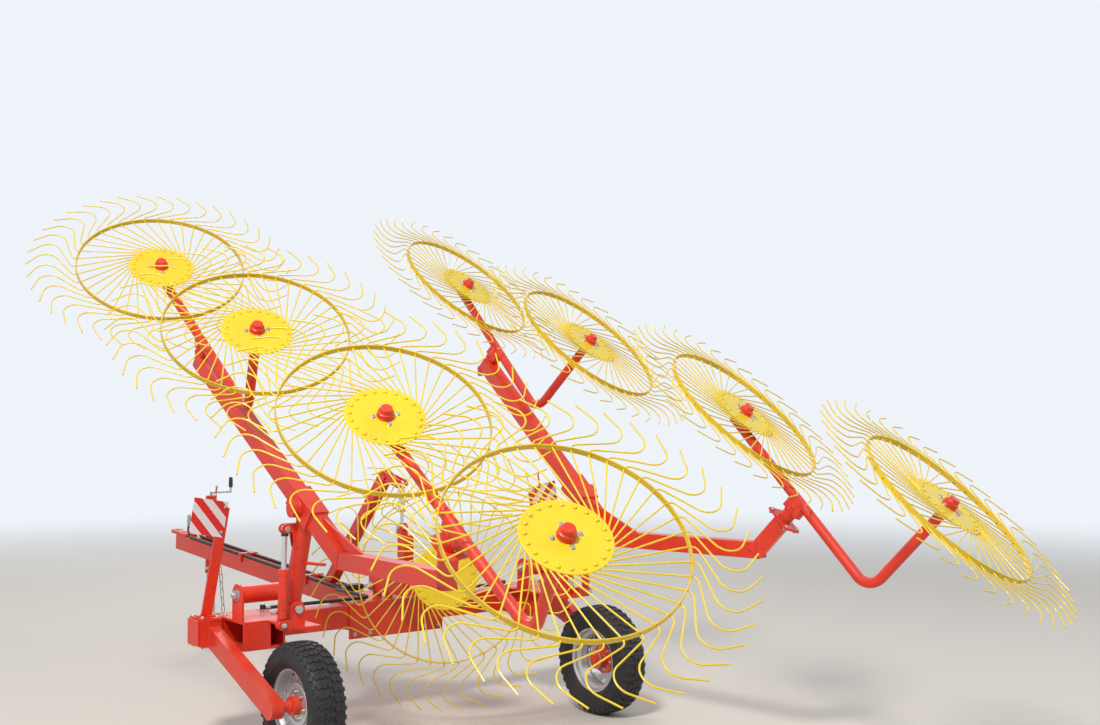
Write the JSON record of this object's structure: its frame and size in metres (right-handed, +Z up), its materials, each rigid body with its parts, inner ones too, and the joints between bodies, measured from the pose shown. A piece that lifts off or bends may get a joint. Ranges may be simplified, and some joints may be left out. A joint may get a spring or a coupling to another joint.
{
  "type": "finger-wheel hay rake",
  "caption": "Two-wheeled trailed hay rake with toothed wheels on two cranked wings that fold up for the road, a middle kicker wheel and a parking jack.",
  "frame": {"origin": "on the ground under the middle of the ground wheel axle line", "axes": "+X to the right, +Y forward along the drawbar, +Z up"},
  "size_m": [3.5542, 6.4157, 2.9602],
  "materials": {
    "red_paint": "gloss",
    "yellow_paint": "gloss",
    "tyre_rubber": "matt",
    "rim_silver": "satin",
    "bright_steel": "polished",
    "grey_steel": "zinc plated",
    "black_rubber": "satin",
    "board_white": "reflective stripes"
  },
  "bodies": {
    "frame": {"cross_beam": "red_paint", "drawbar": "red_paint", "tow_tongue": "red_paint", "hydraulic_hoses": "black_rubber", "left_trailing_arm": "red_paint", "right_trailing_arm": "red_paint", "left_wing_bracket": "red_paint", "right_wing_bracket": "red_paint", "left_board_post": "red_paint", "right_board_post": "red_paint", "left_warning_board": "board_white", "right_warning_board": "board_white", "jack_sleeve": "red_paint", "kicker_gallows": "red_paint"},
    "jack_leg": {"jack_leg": "grey_steel"},
    "kicker_arm": {"kicker_arm": "red_paint"},
    "kicker_wheel": {"kicker_wheel": "yellow_paint"},
    "kicker_strut_tube": {"kicker_strut_tube": "bright_steel"},
    "kicker_strut_rod": {"kicker_strut_rod": "bright_steel"},
    "left_wing": {"left_wing_post": "red_paint", "left_boom": "red_paint"},
    "left_front_rocker": {"left_front_rocker": "red_paint"},
    "left_rake_wheel_1": {"left_rake_wheel_1": "yellow_paint"},
    "left_rake_wheel_2": {"left_rake_wheel_2": "yellow_paint"},
    "left_rear_rocker": {"left_rear_rocker": "red_paint"},
    "left_rake_wheel_3": {"left_rake_wheel_3": "yellow_paint"},
    "left_rake_wheel_4": {"left_rake_wheel_4": "yellow_paint"},
    "left_lift_barrel": {"left_lift_barrel": "red_paint"},
    "left_lift_rod": {"left_lift_rod": "bright_steel"},
    "left_ground_wheel": {"left_tyre": "tyre_rubber", "left_rim": "rim_silver", "left_hub": "red_paint"},
    "right_wing": {"right_wing_post": "red_paint", "right_boom": "red_paint"},
    "right_front_rocker": {"right_front_rocker": "red_paint"},
    "right_rake_wheel_1": {"right_rake_wheel_1": "yellow_paint"},
    "right_rake_wheel_2": {"right_rake_wheel_2": "yellow_paint"},
    "right_rear_rocker": {"right_rear_rocker": "red_paint"},
    "right_rake_wheel_3": {"right_rake_wheel_3": "yellow_paint"},
    "right_rake_wheel_4": {"right_rake_wheel_4": "yellow_paint"},
    "right_lift_barrel": {"right_lift_barrel": "red_paint"},
    "right_lift_rod": {"right_lift_rod": "bright_steel"},
    "right_ground_wheel": {"right_tyre": "tyre_rubber", "right_rim": "rim_silver", "right_hub": "red_paint"}
  },
  "joints": [
    {"name": "jack_slide", "type": "slide", "parent": "frame", "child": "jack_leg", "axis": [0, 0, 1], "range_m": [0, 0.3]},
    {"name": "kicker_lower", "type": "hinge", "parent": "frame", "child": "kicker_arm", "pos_m": [0, 0.8, 0.705], "axis": [1, 0, 0], "range_deg": [0, 9]},
    {"name": "kicker_spin", "type": "hinge", "parent": "kicker_arm", "child": "kicker_wheel", "pos_m": [0, 0.18, 0.81], "axis": [-0.5707, -0.8211, 0], "continuous": true},
    {"name": "kicker_strut_swing", "type": "hinge", "parent": "frame", "child": "kicker_strut_tube", "pos_m": [0, 0.61, 1.28], "axis": [1, 0, 0], "range_deg": [-9.94, 0]},
    {"name": "kicker_strut_slide", "type": "slide", "parent": "kicker_strut_tube", "child": "kicker_strut_rod", "axis": [0, -0.0416, -0.9991], "range_m": [0, 0.04195]},
    {"name": "left_wing_fold", "type": "hinge", "parent": "frame", "child": "left_wing", "pos_m": [-0.85, 0.27, 0.72], "axis": [-0.0523, -0.9986, 0], "range_deg": [0, 83]},
    {"name": "left_front_rocker_swing", "type": "hinge", "parent": "left_wing", "child": "left_front_rocker", "pos_m": [-0.95003, 1.12396, 1.96496], "axis": [-0.2238, -0.6354, 0.739], "range_deg": [-8, 8]},
    {"name": "left_rake_wheel_1_spin", "type": "hinge", "parent": "left_front_rocker", "child": "left_rake_wheel_1", "pos_m": [-1.036, 1.47, 2.48], "axis": [-0.2238, -0.6354, 0.739], "continuous": true},
    {"name": "left_rake_wheel_2_spin", "type": "hinge", "parent": "left_front_rocker", "child": "left_rake_wheel_2", "pos_m": [-1.05277, 0.25185, 2.07708], "axis": [-0.2238, -0.6354, 0.739], "continuous": true},
    {"name": "left_rear_rocker_swing", "type": "hinge", "parent": "left_wing", "child": "left_rear_rocker", "pos_m": [-0.98357, -1.31233, 1.15912], "axis": [-0.2238, -0.6354, 0.739], "range_deg": [-8, 8]},
    {"name": "left_rake_wheel_3_spin", "type": "hinge", "parent": "left_rear_rocker", "child": "left_rake_wheel_3", "pos_m": [-1.06954, -0.96629, 1.67417], "axis": [-0.2238, -0.6354, 0.739], "continuous": true},
    {"name": "left_rake_wheel_4_spin", "type": "hinge", "parent": "left_rear_rocker", "child": "left_rake_wheel_4", "pos_m": [-1.08632, -2.18443, 1.27125], "axis": [-0.2238, -0.6354, 0.739], "continuous": true},
    {"name": "left_lift_swing", "type": "hinge", "parent": "frame", "child": "left_lift_barrel", "pos_m": [-0.95562, 0.16538, 0.655], "axis": [-0.0523, -0.9986, 0], "range_deg": [0, 86.49]},
    {"name": "left_lift_slide", "type": "slide", "parent": "left_lift_barrel", "child": "left_lift_rod", "axis": [0.0322, -0.0017, 0.9995], "range_m": [-0.15696, 0]},
    {"name": "left_ground_wheel_spin", "type": "hinge", "parent": "frame", "child": "left_ground_wheel", "pos_m": [-0.93, 0, 0.3], "axis": [1, 0, 0], "continuous": true},
    {"name": "right_wing_fold", "type": "hinge", "parent": "frame", "child": "right_wing", "pos_m": [0.85, 0.27, 0.72], "axis": [-0.0523, 0.9986, 0], "range_deg": [0, 83]},
    {"name": "right_front_rocker_swing", "type": "hinge", "parent": "right_wing", "child": "right_front_rocker", "pos_m": [0.95003, 1.12396, 1.96496], "axis": [0.2238, -0.6354, 0.739], "range_deg": [-8, 8]},
    {"name": "right_rake_wheel_1_spin", "type": "hinge", "parent": "right_front_rocker", "child": "right_rake_wheel_1", "pos_m": [1.036, 1.47, 2.48], "axis": [0.2238, -0.6354, 0.739], "continuous": true},
    {"name": "right_rake_wheel_2_spin", "type": "hinge", "parent": "right_front_rocker", "child": "right_rake_wheel_2", "pos_m": [1.05277, 0.25185, 2.07708], "axis": [0.2238, -0.6354, 0.739], "continuous": true},
    {"name": "right_rear_rocker_swing", "type": "hinge", "parent": "right_wing", "child": "right_rear_rocker", "pos_m": [0.98357, -1.31233, 1.15912], "axis": [0.2238, -0.6354, 0.739], "range_deg": [-8, 8]},
    {"name": "right_rake_wheel_3_spin", "type": "hinge", "parent": "right_rear_rocker", "child": "right_rake_wheel_3", "pos_m": [1.06954, -0.96629, 1.67417], "axis": [0.2238, -0.6354, 0.739], "continuous": true},
    {"name": "right_rake_wheel_4_spin", "type": "hinge", "parent": "right_rear_rocker", "child": "right_rake_wheel_4", "pos_m": [1.08632, -2.18443, 1.27125], "axis": [0.2238, -0.6354, 0.739], "continuous": true},
    {"name": "right_lift_swing", "type": "hinge", "parent": "frame", "child": "right_lift_barrel", "pos_m": [0.95562, 0.16538, 0.655], "axis": [-0.0523, 0.9986, 0], "range_deg": [0, 86.49]},
    {"name": "right_lift_slide", "type": "slide", "parent": "right_lift_barrel", "child": "right_lift_rod", "axis": [-0.0322, -0.0017, 0.9995], "range_m": [-0.15696, 0]},
    {"name": "right_ground_wheel_spin", "type": "hinge", "parent": "frame", "child": "right_ground_wheel", "pos_m": [0.93, 0, 0.3], "axis": [1, 0, 0], "continuous": true}
  ],
  "couplings": [
    {"joint": "kicker_strut_swing", "follows": "kicker_lower", "ratio": -1.0992},
    {"joint": "kicker_strut_slide", "follows": "kicker_lower", "m_per_rad": 0.26516},
    {"joint": "left_lift_swing", "follows": "left_wing_fold", "ratio": 1.0408},
    {"joint": "left_lift_slide", "follows": "left_wing_fold", "m_per_rad": -0.10801},
    {"joint": "right_lift_swing", "follows": "right_wing_fold", "ratio": 1.0408},
    {"joint": "right_lift_slide", "follows": "right_wing_fold", "m_per_rad": -0.10801}
  ]
}
